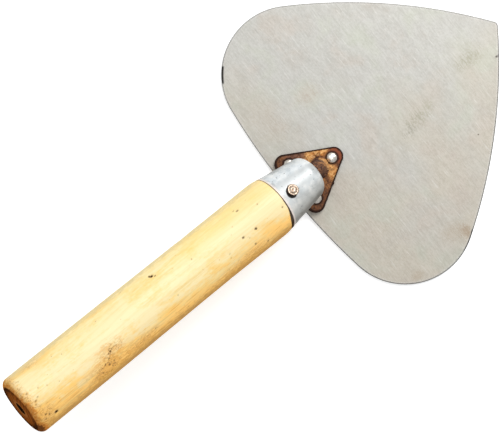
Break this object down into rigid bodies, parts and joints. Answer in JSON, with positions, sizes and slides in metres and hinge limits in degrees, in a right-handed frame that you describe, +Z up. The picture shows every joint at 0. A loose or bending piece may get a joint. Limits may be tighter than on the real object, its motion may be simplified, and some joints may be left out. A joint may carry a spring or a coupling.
{
  "type": "mason's trowel",
  "caption": "Peach-shaped flat steel blade riveted to a three-cornered tang plate, with a bent round tang in a turned wooden handle under a pinned thimble ferrule.",
  "frame": {"origin": "centre of the blade rivets' circle, on the blade's flat underside", "axes": "+X along the tool towards the blade's tip, +Z up out of the blade towards the handle's side, +Y to the left; Y = 0 is the plane of symmetry"},
  "size_m": [0.3078, 0.165, 0.0949],
  "materials": {
    "blade_steel": "satin, with fine brush lines across the tool and faint beige and grey scuffs",
    "rusted_steel": "rough, rusted dark brown with orange patches",
    "rivet_steel": "bright, worn smooth",
    "ferrule_zinc": "galvanised, softly mottled",
    "pin_steel": "satin with a tan tint",
    "handle_wood": "pale yellow wood, smooth turned and lightly waxed"
  },
  "bodies": {
    "root": {"blade": "blade_steel", "tang_plate": "rusted_steel", "tang": "rusted_steel", "tang_weld": "rusted_steel", "blade_rivet_front": "rivet_steel", "blade_rivet_left": "rivet_steel", "blade_rivet_right": "rivet_steel", "ferrule": "ferrule_zinc", "ferrule_rivet": "pin_steel", "handle": "handle_wood"}
  },
  "joints": []
}
